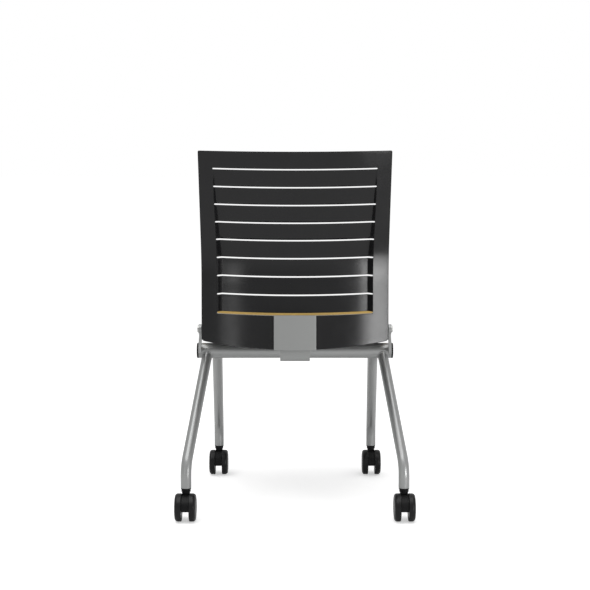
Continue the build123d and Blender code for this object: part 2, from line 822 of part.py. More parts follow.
def make_backrest():
    shell_low = back_corner_z - 2 * back_bottom_dip
    shell_high = back_top_z + back_depth
    outline = back_outline()
    slat_field = make_slat_field()
    with BuildPart() as backrest:
        # The frame: an arc-shaped band lofted up the side profile
        for z in level_stations(shell_low, shell_high, shell_station):
            rear_y = back_y(z)
            edge_y = rear_y - back_bow
            with BuildSketch(Plane.XY.offset(z)):
                with BuildLine():
                    ThreePointArc((-back_half, edge_y), (0, rear_y), (back_half, edge_y))
                    Line((back_half, edge_y), (back_half, edge_y - back_depth))
                    ThreePointArc(
                        (back_half, edge_y - back_depth),
                        (0, rear_y - back_depth),
                        (-back_half, edge_y - back_depth),
                    )
                    Line((-back_half, edge_y - back_depth), (-back_half, edge_y))
                make_face()
        loft()
        # The flat pad at the foot that the spine lies against
        with BuildSketch(pad_plane(pad_z)):
            Rectangle(pad_width, 2 * (cover_top_z - pad_z))
        extrude(amount=-pad_depth)
        with BuildSketch(pad_plane(pad_z)):
            Rectangle(pad_width, 2 * (cover_top_z - pad_z))
        extrude(amount=pad_depth, mode=Mode.SUBTRACT)
        # The window that the slats fill
        with BuildSketch(Plane.XZ):
            with BuildLine():
                Polyline(
                    (-window_half(lowest_slot_z), lowest_slot_z),
                    (window_half(lowest_slot_z), lowest_slot_z),
                    (window_half(slat_level_z), slat_level_z),
                    (window_half(highest_slot_z), highest_slot_z),
                    (-window_half(highest_slot_z), highest_slot_z),
                    (-window_half(slat_level_z), slat_level_z),
                    close=True,
                )
            make_face()
        extrude(amount=2 * back_top_y, both=True, mode=Mode.SUBTRACT)
        add(slat_field)
        with BuildSketch(Plane.XZ):
            add(outline)
        extrude(amount=2 * back_top_y, both=True, mode=Mode.INTERSECT)
        # The slots, each a shallow arc
        with BuildSketch(Plane.XZ):
            for z in slot_heights():
                height = slot_height + (top_slot_height - slot_height) * rise_share(z)
                if z == lowest_slot_z:
                    height = lowest_slot_height
                reach = window_half(z) - height / 2
                with BuildLine(mode=Mode.PRIVATE) as run:
                    ThreePointArc(
                        (-reach, z + slot_dip / 2), (0, z - slot_dip / 2), (reach, z + slot_dip / 2)
                    )
                SlotArc(run.edges()[0], height)
        extrude(amount=2 * back_top_y, both=True, mode=Mode.SUBTRACT)
        # Screw holes through the pad, sunk from the front
        with BuildSketch(pad_plane(pad_z)):
            with back_screw_places():
                Circle(back_screw_diameter / 2 + socket_fit)
        extrude(amount=-2 * back_depth, mode=Mode.SUBTRACT)
        with BuildSketch(pad_plane(pad_z).offset(back_screw_sink - back_depth)):
            with back_screw_places():
                Circle(back_screw_head / 2 + rest_gap)
        extrude(amount=-2 * back_depth, mode=Mode.SUBTRACT)
    keep("backrest", backrest.part)


def make_slat_field():
    # The band that the slats are cut from. Its ends turn back to the stiles.
    with BuildPart() as slat_field:
        for z in level_stations(lowest_slot_z, highest_slot_z, slat_station):
            rear_y = back_y(z)
            recess = slat_depth(z)
            side_x = window_half(z)
            stile_x = side_x + slat_overlap
            slat_x = side_x - slat_side_width * recess / slat_recess
            stile_y = rear_y - bow_y(stile_x) - slat_step
            side_y = rear_y - bow_y(side_x) - slat_step
            slat_y = rear_y - bow_y(slat_x) - recess
            middle_y = rear_y - recess
            with BuildSketch(Plane.XY.offset(z)):
                with BuildLine():
                    Polyline((-stile_x, stile_y), (-side_x, side_y), (-slat_x, slat_y))
                    ThreePointArc((-slat_x, slat_y), (0, middle_y), (slat_x, slat_y))
                    Polyline(
                        (slat_x, slat_y),
                        (side_x, side_y),
                        (stile_x, stile_y),
                        (stile_x, stile_y - slat_thickness),
                        (side_x, side_y - slat_thickness),
                        (slat_x, slat_y - slat_thickness),
                    )
                    ThreePointArc(
                        (slat_x, slat_y - slat_thickness),
                        (0, middle_y - slat_thickness),
                        (-slat_x, slat_y - slat_thickness),
                    )
                    Polyline(
                        (-slat_x, slat_y - slat_thickness),
                        (-side_x, side_y - slat_thickness),
                        (-stile_x, stile_y - slat_thickness),
                        (-stile_x, stile_y),
                    )
                make_face()
        loft(ruled=True)
    return slat_field.part


def make_spine():
    # Flat bar welded to the crossbar, that runs back under the seat and bends up the back.
    lean_stretch = hypot(1, foot_slope)
    turn_y = back_y(spine_run_z) + spine_thickness / 2 * lean_stretch
    top_y = back_y(spine_top_z) + spine_thickness / 2 * lean_stretch
    with BuildPart() as spine:
        with BuildLine(Plane.YZ):
            FilletPolyline(
                (crossbar_y, spine_run_z),
                (turn_y, spine_run_z),
                (top_y, spine_top_z),
                radius=spine_bend_radius,
            )
        with BuildSketch(Plane(origin=(0, crossbar_y, spine_run_z), x_dir=(1, 0, 0), z_dir=(0, 1, 0))):
            Rectangle(spine_width, spine_thickness)
        sweep()
        with Locations((0, crossbar_y, crossbar_z)):
            Cylinder(crossbar_radius, crossbar_length, rotation=(0, 90, 0), mode=Mode.SUBTRACT)
        with BuildSketch(pad_plane(pad_z)):
            with back_screw_places():
                Circle(back_screw_diameter / 2 + socket_fit)
        extrude(amount=2 * spine_thickness, mode=Mode.SUBTRACT)
    keep("back_spine", spine.part)


def make_spine_cover():
    # Moulded bracket over the top of the spine, with a pocket that the spine lies in.
    height = cover_top_z - cover_bottom_z
    with BuildPart() as cover:
        with BuildSketch(pad_plane(pad_z)):
            Rectangle(cover_width, height)
        extrude(amount=cover_thickness)
        fillet(cover.edges().filter_by(Axis((0, 0, 0), (0, foot_slope, 1))), cover_edge)
        pocket_top = spine_top_z - pad_z + rest_gap
        with BuildSketch(pad_plane(pad_z)):
            with Locations((0, pocket_top)):
                Rectangle(
                    spine_width + 2 * rest_gap,
                    2 * height,
                    align=(Align.CENTER, Align.MAX),
                )
        extrude(amount=spine_thickness + socket_fit, mode=Mode.SUBTRACT)
        with BuildSketch(pad_plane(pad_z)):
            with back_screw_places():
                Circle(back_screw_diameter / 2 + socket_fit)
        extrude(amount=spine_thickness + back_screw_grip, mode=Mode.SUBTRACT)
    keep("spine_cover", cover.part)


def make_back_screws():
    # The four screws from the front of the back's foot into the cover.
    head_plane = pad_plane(pad_z).offset(back_screw_sink - back_depth)
    grip = back_depth - back_screw_sink + spine_thickness + back_screw_grip
    with BuildPart() as back_screws:
        with BuildSketch(head_plane):
            with back_screw_places():
                Circle(back_screw_head / 2)
        extrude(amount=-back_screw_head_height)
        with BuildSketch(head_plane):
            with back_screw_places():
                Circle(back_screw_diameter / 2)
        extrude(amount=grip)
    keep("back_screws", back_screws.part)


# ---- Build ----

make_crossbar()
make_end_plug()
make_side_arm()
make_arm_screw()
make_end_cap()
make_pivot_bushing()
for end, track, stem_y, top_x in (
    ("rear", rear_track, rear_stem_y, rear_leg_top_x),
    ("front", front_track, front_stem_y, front_leg_top_x),
):
    make_corner(end + "_left", track / 2, stem_y, top_x)
    make_corner(end + "_right", -track / 2, stem_y, -top_x)
make_seat_pan()
make_seat_board()
make_seat_cushion()
make_seat_bumper()
make_hinge_plate()
make_pivot_pin()
make_hinge_screws()
make_backrest()
make_spine()
make_spine_cover()
make_back_screws()

os.makedirs("parts", exist_ok=True)
for name, piece in pieces.items():
    export_step(piece, "parts/" + name + ".step")
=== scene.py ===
import json
import bmesh
import bpy
from math import ceil, cos, hypot, pi, radians, sin, sqrt, tan
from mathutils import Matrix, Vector


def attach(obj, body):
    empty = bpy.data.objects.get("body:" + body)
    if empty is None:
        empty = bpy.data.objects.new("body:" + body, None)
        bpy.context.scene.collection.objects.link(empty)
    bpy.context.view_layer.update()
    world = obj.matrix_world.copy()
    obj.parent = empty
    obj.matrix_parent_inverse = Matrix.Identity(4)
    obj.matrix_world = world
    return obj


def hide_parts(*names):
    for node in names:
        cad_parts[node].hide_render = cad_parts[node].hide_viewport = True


# A nesting chair on casters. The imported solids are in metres, +Z up, and the sitter faces -Y.
# This script dresses them: finishes, the moulded back, the cushion with its covers, the welds.
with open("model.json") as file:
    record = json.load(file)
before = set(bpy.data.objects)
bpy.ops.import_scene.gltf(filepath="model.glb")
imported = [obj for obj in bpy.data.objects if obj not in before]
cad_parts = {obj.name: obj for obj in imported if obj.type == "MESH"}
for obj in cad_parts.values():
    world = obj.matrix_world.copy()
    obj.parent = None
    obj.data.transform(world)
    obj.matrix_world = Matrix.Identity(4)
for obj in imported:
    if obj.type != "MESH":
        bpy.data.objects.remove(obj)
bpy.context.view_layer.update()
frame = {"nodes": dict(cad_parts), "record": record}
nodes = frame["nodes"]
scene = bpy.context.scene
mm = 0.001
print("frame loaded,", len(nodes), "pieces")


# Small helpers

def addPiece(name, mesh):
    piece = bpy.data.objects.new(name, mesh)
    scene.collection.objects.link(piece)
    return piece


def meshFromLists(name, points, faces):
    mesh = bpy.data.meshes.new(name)
    mesh.from_pydata(points, [], faces)
    mesh.validate()
    return mesh


def bakeModifiers(piece):
    # Puts the result of the modifiers into the mesh, and drops the modifiers.
    depsgraph = bpy.context.evaluated_depsgraph_get()
    finished = bpy.data.meshes.new_from_object(piece.evaluated_get(depsgraph))
    piece.modifiers.clear()
    piece.data = finished


def smoothShade(mesh):
    for face in mesh.polygons:
        face.use_smooth = True


def dress(piece, material):
    if not piece.data.materials:
        piece.data.materials.append(material)
    for slot in piece.material_slots:
        slot.material = material


# Building blocks of the finishes

def placeNode(tree, kind, **settings):
    node = tree.nodes.new(kind)
    for name, value in settings.items():
        setattr(node, name, value)
    return node


def feed(tree, source, target):
    tree.links.new(source, target)


def mathNode(tree, operation, first, second=None, clamp=False):
    node = placeNode(tree, "ShaderNodeMath", operation=operation, use_clamp=clamp)
    for socket, value in zip(node.inputs, (first, second)):
        if value is None:
            continue
        if isinstance(value, (int, float)):
            socket.default_value = value
        else:
            feed(tree, value, socket)
    return node.outputs[0]


def newGroup(name, inputs, outputs):
    group = bpy.data.node_groups.new(name, "ShaderNodeTree")
    for label, kind, value in inputs:
        socket = group.interface.new_socket(name=label, in_out="INPUT", socket_type=kind)
        if value is not None:
            socket.default_value = value
    for label, kind in outputs:
        group.interface.new_socket(name=label, in_out="OUTPUT", socket_type=kind)
    start = group.nodes.new("NodeGroupInput").outputs
    end = group.nodes.new("NodeGroupOutput").inputs
    return group, start, end


def noiseNode(tree, vector, scale, detail=2.0, roughness=0.5):
    node = placeNode(tree, "ShaderNodeTexNoise")
    node.inputs["Detail"].default_value = detail
    node.inputs["Roughness"].default_value = roughness
    feed(tree, vector, node.inputs["Vector"])
    if isinstance(scale, (int, float)):
        node.inputs["Scale"].default_value = scale
    else:
        feed(tree, scale, node.inputs["Scale"])
    return node.outputs[0]


def rangeNode(tree, value, low, high, outLow, outHigh):
    node = placeNode(tree, "ShaderNodeMapRange")
    feed(tree, value, node.inputs["Value"])
    for label, number in (("From Min", low), ("From Max", high), ("To Min", outLow), ("To Max", outHigh)):
        node.inputs[label].default_value = number
    return node.outputs["Result"]


def mixColours(tree, share, first, second):
    node = placeNode(tree, "ShaderNodeMix", data_type="RGBA")
    for socket, value in ((node.inputs[0], share), (node.inputs[6], first), (node.inputs[7], second)):
        if isinstance(value, (int, float, tuple)):
            socket.default_value = value
        else:
            feed(tree, value, socket)
    return node.outputs[2]


# Moulded grain: the fine pebbled skin that a mould leaves, and its uneven gloss
def makeMouldGrain():
    group, start, end = newGroup(
        "mouldGrain",
        [("Vector", "NodeSocketVector", None), ("Pebbles per metre", "NodeSocketFloat", 1400.0)],
        [("Height", "NodeSocketFloat"), ("Gloss change", "NodeSocketFloat")],
    )
    pebbles = placeNode(group, "ShaderNodeTexVoronoi", feature="SMOOTH_F1")
    feed(group, start["Vector"], pebbles.inputs["Vector"])
    feed(group, start["Pebbles per metre"], pebbles.inputs["Scale"])
    fine = noiseNode(group, start["Vector"], 2600.0, 2.0)
    height = mathNode(group, "ADD", pebbles.outputs["Distance"], mathNode(group, "MULTIPLY", fine, 0.5))
    feed(group, height, end["Height"])
    broad = noiseNode(group, start["Vector"], 14.0, 3.0, 0.6)
    feed(group, rangeNode(group, broad, 0.3, 0.7, -0.04, 0.05), end["Gloss change"])
    return group


# Powder coat: slight orange peel, metal flake and uneven gloss
def makePowderCoat():
    group, start, end = newGroup(
        "powderCoat",
        [("Vector", "NodeSocketVector", None), ("Peel per metre", "NodeSocketFloat", 420.0)],
        [("Height", "NodeSocketFloat"), ("Flake", "NodeSocketFloat"), ("Gloss change", "NodeSocketFloat")],
    )
    peel = noiseNode(group, start["Vector"], start["Peel per metre"], 1.5)
    feed(group, peel, end["Height"])
    flakes = placeNode(group, "ShaderNodeTexVoronoi", feature="F1")
    flakes.inputs["Scale"].default_value = 3200.0
    feed(group, start["Vector"], flakes.inputs["Vector"])
    split = placeNode(group, "ShaderNodeSeparateColor")
    feed(group, flakes.outputs["Color"], split.inputs[0])
    feed(group, rangeNode(group, split.outputs[0], 0.0, 1.0, 0.9, 1.08), end["Flake"])
    broad = noiseNode(group, start["Vector"], 22.0, 3.0, 0.6)
    feed(group, rangeNode(group, broad, 0.3, 0.7, -0.035, 0.045), end["Gloss change"])
    return group


# Scuffs: thin, sparse marks from handling and nesting, stretched along one direction
def makeScuffs():
    group, start, end = newGroup(
        "scuffs",
        [("Vector", "NodeSocketVector", None), ("Amount", "NodeSocketFloat", 0.5)],
        [("Mask", "NodeSocketFloat")],
    )
    turn = placeNode(group, "ShaderNodeMapping")
    turn.inputs["Rotation"].default_value = (0.5, 0.9, 0.3)
    turn.inputs["Scale"].default_value = (60.0, 620.0, 480.0)
    feed(group, start["Vector"], turn.inputs["Vector"])
    streaks = noiseNode(group, turn.outputs["Vector"], 1.0, 3.0, 0.6)
    places = noiseNode(group, start["Vector"], 19.0, 2.0)
    thin = rangeNode(group, streaks, 0.66, 0.74, 0.0, 1.0)
    where = rangeNode(group, places, 0.52, 0.62, 0.0, 1.0)
    sparse = mathNode(group, "MULTIPLY", thin, where)
    feed(group, mathNode(group, "MULTIPLY", sparse, start["Amount"]), end["Mask"])
    return group


# Dust that settles on faces that look up
def makeDust():
    group, start, end = newGroup(
        "settledDust",
        [
            ("Vector", "NodeSocketVector", None),
            ("Normal", "NodeSocketVector", None),
            ("Amount", "NodeSocketFloat", 0.1),
        ],
        [("Mask", "NodeSocketFloat")],
    )
    split = placeNode(group, "ShaderNodeSeparateXYZ")
    feed(group, start["Normal"], split.inputs[0])
    upward = rangeNode(group, split.outputs["Z"], 0.2, 1.0, 0.0, 1.0)
    patches = rangeNode(group, noiseNode(group, start["Vector"], 90.0, 4.0, 0.7), 0.35, 0.75, 0.3, 1.0)
    settled = mathNode(group, "MULTIPLY", upward, patches)
    feed(group, mathNode(group, "MULTIPLY", settled, start["Amount"]), end["Mask"])
    return group


mouldGrain = makeMouldGrain()
powderCoat = makePowderCoat()
scuffs = makeScuffs()
settledDust = makeDust()


def startMaterial(name, shaderValues):
    material = bpy.data.materials.new(name)
    material.use_nodes = True
    tree = material.node_tree
    shader = tree.nodes["Principled BSDF"]
    for label, value in shaderValues.items():
        shader.inputs[label].default_value = value
    place = tree.nodes.new("ShaderNodeTexCoord")
    return material, tree, shader, place


def useGroup(tree, group, place, **values):
    node = placeNode(tree, "ShaderNodeGroup", node_tree=group)
    feed(tree, place.outputs["Object"], node.inputs["Vector"])
    if "Normal" in node.inputs:
        feed(tree, place.outputs["Normal"], node.inputs["Normal"])
    for label, value in values.items():
        node.inputs[label.replace("_", " ")].default_value = value
    return node


def addBump(tree, shader, height, distance, strength=1.0):
    bump = placeNode(tree, "ShaderNodeBump")
    bump.inputs["Distance"].default_value = distance
    bump.inputs["Strength"].default_value = strength
    feed(tree, height, bump.inputs["Height"])
    feed(tree, bump.outputs["Normal"], shader.inputs["Normal"])


# Painted steel: satin silver powder coat with a fine metal flake
def paintedSteel(name, look):
    material, tree, shader, place = startMaterial(
        name, {"Metallic": look["metal"], "Coat Weight": look["coat"], "Coat Roughness": 0.2}
    )
    coat = useGroup(tree, powderCoat, place)
    marks = useGroup(tree, scuffs, place, Amount=look["scuffs"])
    flaked = placeNode(tree, "ShaderNodeMix", data_type="RGBA", blend_type="MULTIPLY")
    flaked.inputs[0].default_value = look["flake"]
    flaked.inputs[6].default_value = look["colour"]
    feed(tree, coat.outputs["Flake"], flaked.inputs[7])
    marked = mixColours(tree, marks.outputs["Mask"], flaked.outputs[2], look["scuffColour"])
    feed(tree, marked, shader.inputs["Base Color"])
    rough = mathNode(tree, "ADD", coat.outputs["Gloss change"], look["roughness"])
    worn = mathNode(tree, "ADD", rough, mathNode(tree, "MULTIPLY", marks.outputs["Mask"], 0.2))
    feed(tree, worn, shader.inputs["Roughness"])
    addBump(tree, shader, coat.outputs["Height"], look["peelDepth"])
    return material


# Bare plated steel with turning marks
def platedSteel(name, look):
    material, tree, shader, place = startMaterial(name, {"Metallic": 1.0})
    lines = placeNode(tree, "ShaderNodeMapping")
    lines.inputs["Scale"].default_value = (3000.0, 300.0, 300.0)
    feed(tree, place.outputs["Object"], lines.inputs["Vector"])
    brushed = noiseNode(tree, lines.outputs["Vector"], 1.0, 3.0, 0.7)
    cloudy = noiseNode(tree, place.outputs["Object"], 160.0, 3.0)
    feed(tree, mixColours(tree, cloudy, look["colour"], look["cloudColour"]), shader.inputs["Base Color"])
    rough = rangeNode(tree, brushed, 0.3, 0.7, look["roughness"] - 0.08, look["roughness"] + 0.1)
    feed(tree, rough, shader.inputs["Roughness"])
    addBump(tree, shader, brushed, 0.00002, 0.5)
    return material


# Moulded plastic or rubber with a pebbled skin, scuffs and a little dust
def mouldedSkin(name, look):
    material, tree, shader, place = startMaterial(name, {"Specular IOR Level": look["shine"]})
    skin = useGroup(tree, mouldGrain, place, Pebbles_per_metre=look["pebbles"])
    marks = useGroup(tree, scuffs, place, Amount=look["scuffs"])
    dust = useGroup(tree, settledDust, place, Amount=look["dust"])
    cloudy = noiseNode(tree, place.outputs["Object"], 45.0, 3.0)
    plain = mixColours(tree, cloudy, look["colour"], look["cloudColour"])
    marked = mixColours(tree, marks.outputs["Mask"], plain, look["scuffColour"])
    feed(tree, mixColours(tree, dust.outputs["Mask"], marked, look["dustColour"]), shader.inputs["Base Color"])
    rough = mathNode(tree, "ADD", skin.outputs["Gloss change"], look["roughness"])
    worn = mathNode(tree, "ADD", rough, mathNode(tree, "MULTIPLY", marks.outputs["Mask"], 0.15))
    feed(tree, worn, shader.inputs["Roughness"])
    addBump(tree, shader, skin.outputs["Height"], look["grainDepth"])
    return material


silverPaint = {
    "colour": (0.315, 0.32, 0.318, 1),
    "scuffColour": (0.24, 0.24, 0.24, 1),
    "metal": 0.55,
    "coat": 0.2,
    "roughness": 0.31,
    "flake": 0.6,
    "peelDepth": 0.00003,
    "scuffs": 0.08,
}
bracketPaint = dict(silverPaint, colour=(0.235, 0.24, 0.236, 1), metal=0.25, coat=0.1, roughness=0.42, scuffs=0.15)
platedLook = {"colour": (0.62, 0.62, 0.6, 1), "cloudColour": (0.5, 0.5, 0.49, 1), "roughness": 0.3}
backPlasticLook = {
    "colour": (0.006, 0.006, 0.0065, 1),
    "cloudColour": (0.0085, 0.0085, 0.009, 1),
    "scuffColour": (0.03, 0.03, 0.03, 1),
    "dustColour": (0.09, 0.088, 0.085, 1),
    "shine": 0.3,
    "roughness": 0.16,
    "pebbles": 1300.0,
    "grainDepth": 0.00003,
    "scuffs": 0.2,
    "dust": 0.03,
}
nylonLook = dict(
    backPlasticLook,
    colour=(0.004, 0.004, 0.0045, 1),
    cloudColour=(0.006, 0.006, 0.0065, 1),
    shine=0.14,
    roughness=0.4,
    pebbles=1100.0,
    grainDepth=0.00008,
    scuffs=0.3,
    dust=0.06,
)
wheelLook = dict(
    backPlasticLook,
    colour=(0.005, 0.005, 0.0055, 1),
    cloudColour=(0.0065, 0.0065, 0.007, 1),
    shine=0.24,
    roughness=0.3,
    pebbles=900.0,
    grainDepth=0.00004,
    scuffs=0.6,
    dust=0.08,
)
rubberLook = dict(backPlasticLook, colour=(0.014, 0.014, 0.014, 1), roughness=0.7, pebbles=800.0, scuffs=0.3, dust=0.1)


# Plywood: thin layers seen on the edges, long grain on the faces
def makePlywood():
    look = {
        "face": (0.52, 0.36, 0.21, 1),
        "line": (0.30, 0.18, 0.09, 1),
        "layersPerMetre": 620.0,
        "roughness": 0.6,
    }
    material, tree, shader, place = startMaterial("seatPlywood", {})
    grainPlace = placeNode(tree, "ShaderNodeMapping")
    grainPlace.inputs["Scale"].default_value = (18.0, 220.0, 220.0)
    feed(tree, place.outputs["Object"], grainPlace.inputs["Vector"])
    grain = noiseNode(tree, grainPlace.outputs["Vector"], 1.0, 5.0, 0.65)
    layers = placeNode(tree, "ShaderNodeTexWave", wave_type="BANDS", bands_direction="Z")
    layers.inputs["Scale"].default_value = look["layersPerMetre"] / (2 * pi)
    layers.inputs["Distortion"].default_value = 0.6
    feed(tree, place.outputs["Object"], layers.inputs["Vector"])
    share = mathNode(tree, "MULTIPLY", mathNode(tree, "ADD", grain, layers.outputs["Fac"]), 0.45)
    feed(tree, mixColours(tree, share, look["face"], look["line"]), shader.inputs["Base Color"])
    rough = rangeNode(tree, grain, 0.3, 0.7, look["roughness"] - 0.1, look["roughness"] + 0.12)
    feed(tree, rough, shader.inputs["Roughness"])
    addBump(tree, shader, grain, 0.0001)
    return material


# Golden woven upholstery. The threads are laid out by the side that a face looks to, so the
# weave needs no map.
def makeFabric():
    look = {
        "colour": (0.50, 0.315, 0.055, 1),
        # The next colour is painted shade: it fills the hollows between the raised threads.
        "paintedShade": (0.33, 0.195, 0.028, 1),
        "fleck": (0.6, 0.42, 0.12, 1),
        "threadsPerMetre": 640.0,
        "threadDepth": 0.00035,
        "roughness": 0.85,
        "sheen": 0.22,
        "sheenColour": (1.0, 0.86, 0.6, 1),
        "shine": 0.25,
    }
    material, tree, shader, place = startMaterial(
        "seatFabric",
        {
            "Sheen Weight": look["sheen"],
            "Sheen Roughness": 0.45,
            "Sheen Tint": look["sheenColour"],
            "Specular IOR Level": look["shine"],
        },
    )
    axes = placeNode(tree, "ShaderNodeSeparateXYZ")
    feed(tree, place.outputs["Object"], axes.inputs[0])
    looks = placeNode(tree, "ShaderNodeSeparateXYZ")
    feed(tree, place.outputs["Normal"], looks.inputs[0])

    def threadPair(first, second):
        # Over-and-under: each crossing lifts one of the two threads.
        across = mathNode(tree, "SINE", mathNode(tree, "MULTIPLY", axes.outputs[first], look["threadsPerMetre"] * pi))
        along = mathNode(tree, "SINE", mathNode(tree, "MULTIPLY", axes.outputs[second], look["threadsPerMetre"] * pi))
        lifted = mathNode(tree, "MULTIPLY", across, along)
        rounds = mathNode(tree, "MAXIMUM", mathNode(tree, "ABSOLUTE", across), mathNode(tree, "ABSOLUTE", along))
        crossings = mathNode(tree, "MULTIPLY", lifted, 0.35)
        return mathNode(tree, "ADD", crossings, mathNode(tree, "MULTIPLY", rounds, 0.65))

    facing = {axis: mathNode(tree, "POWER", mathNode(tree, "ABSOLUTE", looks.outputs[axis]), 6.0) for axis in "XYZ"}
    total = mathNode(tree, "ADD", mathNode(tree, "ADD", facing["X"], facing["Y"]), facing["Z"])
    height = None
    for axis, pair in (("X", "YZ"), ("Y", "XZ"), ("Z", "XY")):
        part = mathNode(tree, "MULTIPLY", threadPair(*pair), mathNode(tree, "DIVIDE", facing[axis], total))
        height = part if height is None else mathNode(tree, "ADD", height, part)
    slubPlace = placeNode(tree, "ShaderNodeMapping")
    slubPlace.inputs["Scale"].default_value = (300.0, 55.0, 300.0)
    feed(tree, place.outputs["Object"], slubPlace.inputs["Vector"])
    slubs = noiseNode(tree, slubPlace.outputs["Vector"], 1.0, 3.0, 0.6)
    wide = noiseNode(tree, place.outputs["Object"], 9.0, 3.0, 0.55)
    # The hollows between raised threads take the darker colour: painted shade in the weave, not a second yarn colour.
    threads = mixColours(tree, rangeNode(tree, height, 0.35, 0.9, 0.0, 1.0), look["paintedShade"], look["colour"])
    flecked = mixColours(tree, rangeNode(tree, slubs, 0.5, 0.75, 0.0, 0.55), threads, look["fleck"])
    worn = placeNode(tree, "ShaderNodeMix", data_type="RGBA", blend_type="MULTIPLY")
    worn.inputs[0].default_value = 1.0
    feed(tree, flecked, worn.inputs[6])
    feed(tree, rangeNode(tree, wide, 0.3, 0.7, 0.93, 1.05), worn.inputs[7])
    feed(tree, worn.outputs[2], shader.inputs["Base Color"])
    rough = rangeNode(tree, slubs, 0.3, 0.7, look["roughness"] - 0.06, look["roughness"] + 0.08)
    feed(tree, rough, shader.inputs["Roughness"])
    relief = mathNode(tree, "ADD", height, mathNode(tree, "MULTIPLY", slubs, 0.5))
    addBump(tree, shader, relief, look["threadDepth"])
    return material


# Sewing thread: slightly glossy and lighter than the cloth
def makeThread():
    look = {"colour": (0.66, 0.42, 0.10, 1), "paintedShade": (0.5, 0.3, 0.06, 1), "twistsPerMetre": 900.0}
    material, tree, shader, place = startMaterial("seatThread", {"Roughness": 0.5, "Sheen Weight": 0.2})
    twist = placeNode(tree, "ShaderNodeTexWave", wave_type="BANDS", bands_direction="DIAGONAL")
    twist.inputs["Scale"].default_value = look["twistsPerMetre"]
    feed(tree, place.outputs["Object"], twist.inputs["Vector"])
    # The grooves of the twist take the darker colour: painted shade.
    feed(tree, mixColours(tree, twist.outputs["Fac"], look["paintedShade"], look["colour"]), shader.inputs["Base Color"])
    addBump(tree, shader, twist.outputs["Fac"], 0.0001)
    return material


# Thin black cloth pressed from loose fibres, for the underside
def makeCoverCloth():
    look = {"colour": (0.008, 0.008, 0.008, 1), "fibre": (0.022, 0.022, 0.021, 1), "fibresPerMetre": 900.0}
    material, tree, shader, place = startMaterial("coverCloth", {"Sheen Weight": 0.1, "Specular IOR Level": 0.2})
    fibres = noiseNode(tree, place.outputs["Object"], look["fibresPerMetre"], 4.0, 0.7)
    share = rangeNode(tree, fibres, 0.35, 0.7, 0.0, 1.0)
    feed(tree, mixColours(tree, share, look["colour"], look["fibre"]), shader.inputs["Base Color"])
    feed(tree, rangeNode(tree, fibres, 0.3, 0.7, 0.78, 0.95), shader.inputs["Roughness"])
    addBump(tree, shader, fibres, 0.00015)
    return material


finishes = {
    "frame_paint": paintedSteel("silverFramePaint", silverPaint),
    "cover_paint": paintedSteel("greyBracketPaint", bracketPaint),
    "zinc_steel": platedSteel("zincPlatedSteel", platedLook),
    "black_nylon": mouldedSkin("blackNylon", nylonLook),
    "wheel_black": mouldedSkin("blackWheel", wheelLook),
    "back_plastic": mouldedSkin("satinBlackBack", backPlasticLook),
    "bumper_rubber": mouldedSkin("bumperRubber", rubberLook),
    "seat_plywood": makePlywood(),
    "seat_fabric": makeFabric(),
}
seatThread = makeThread()
coverCloth = makeCoverCloth()
for row in frame["record"]["subparts"]:
    dress(nodes[row["node"]], finishes[row["material_slot"]])
print("finishes laid on the packed pieces")


# The back: one moulding with stiles, a top rail, a foot and eight curved slats

back = {  # millimetres
    "halfWidth": 219.2,
    "depth": 12,
    "bow": 38,
    "footY": 200,
    "footZ": 392,
    "lumbarY": 184,
    "lumbarZ": 600,
    "lumbarBlend": 55,
    "topY": 283,
    "topZ": 857,
    "topDip": 3,
    "cornerZ": 414,
    "bottomDip": 17,
    "topCorner": 3.5,
    "bottomCorner": 7,
    "stileWidth": 36.8,
    "stileTopWidth": 32.5,
    "slotCount": 9,
    "slotHeight": 3.5,
    "topSlotHeight": 2.9,
    "lowSlotHeight": 4.1,
    "slotDip": 2.7,
    "lowSlotZ": 479.6,
    "slotShifts": [0, -0.3, -1.0, -1.4, -0.3, 0.2, 0.9, 1.0, 0.9],  # from even spacing, lowest first
    "topRailHeight": 42.7,
    "slatThickness": 7,
    "slatStep": 3,
    "slatRecess": 22,
    "slatSideWidth": 12,  # of the recess beside a slat, where it is deepest
    "slatSideLeast": 3.5,
    "slatLevelZ": 605,
    "padHalfWidth": 53,
    "padStep": 2.5,
    "outerEdge": 1.6,  # rounding of the outside edges
    "slotEdge": 0.7,
    "edgeTurn": 65,  # degrees: an edge that turns further is rounded
    "creaseTurn": 25,  # degrees: an edge that turns further beside the slats is left crisp
    "creaseX": 150,
    "windowMargin": 0.5,  # an edge in the window and this far from the rim belongs to a slot
    "rimMargin": 6,
    # The moulding's grid: places across it, as x or as steps from the window or the rim
    "padColumns": [0, 13, 26, 39],
    "flatColumns": [70, 86, 102, 118, 134, 148, 160],
    "windowSteps": [-3.8, -2.4, -0.7, 0],
    "stileShares": [0.15, 0.4, 0.65, 0.85],
    "rimSteps": [5, 2, 0.5, 0],
    "slatRows": 5,
    "footRows": 8,
}


def backProfile(z):
    # Rear face on the centre line: two straight runs with a smooth bend at the lumbar point.
    footSlope = (back["lumbarY"] - back["footY"]) / (back["lumbarZ"] - back["footZ"])
    topSlope = (back["topY"] - back["lumbarY"]) / (back["topZ"] - back["lumbarZ"])
    bend = back["lumbarBlend"]
    if z <= back["lumbarZ"] - bend:
        return back["lumbarY"] + footSlope * (z - back["lumbarZ"])
    if z >= back["lumbarZ"] + bend:
        return back["lumbarY"] + topSlope * (z - back["lumbarZ"])
    step = z - back["lumbarZ"] + bend
    return back["lumbarY"] - footSlope * bend + footSlope * step + (topSlope - footSlope) * step**2 / (4 * bend)


def backBow(x):
    radius = (back["halfWidth"] ** 2 + back["bow"] ** 2) / (2 * back["bow"])
    return radius - sqrt(radius**2 - x**2)


def riseShare(z):
    # From 0 where the slats lie deepest to 1 at the highest slot.
    topSlotZ = back["topZ"] - back["topRailHeight"]
    return min(1, max(0, (z - back["slatLevelZ"]) / (topSlotZ - back["slatLevelZ"])))


